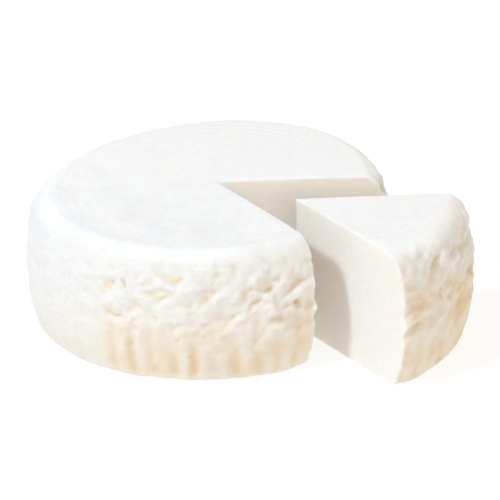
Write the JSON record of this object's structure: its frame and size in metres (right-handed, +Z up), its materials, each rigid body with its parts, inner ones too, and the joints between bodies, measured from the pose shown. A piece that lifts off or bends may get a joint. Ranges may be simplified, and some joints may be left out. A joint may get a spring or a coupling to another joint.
{
  "type": "cheese wheel",
  "caption": "Low round wheel of fresh white basket-pressed cheese standing on its flat base, with a wedge cut from it and drawn part of the way out of its notch.",
  "frame": {"origin": "middle of the wheel's underside, on the surface it stands on", "axes": "+Z up, out of the top of the wheel; +X to the side the wedge is drawn towards, with the notch opening between +X and -Y"},
  "size_m": [0.2165, 0.1887, 0.0693],
  "materials": {
    "curd": null
  },
  "bodies": {
    "root": {"wheel": "curd", "wedge": "curd"}
  },
  "joints": []
}
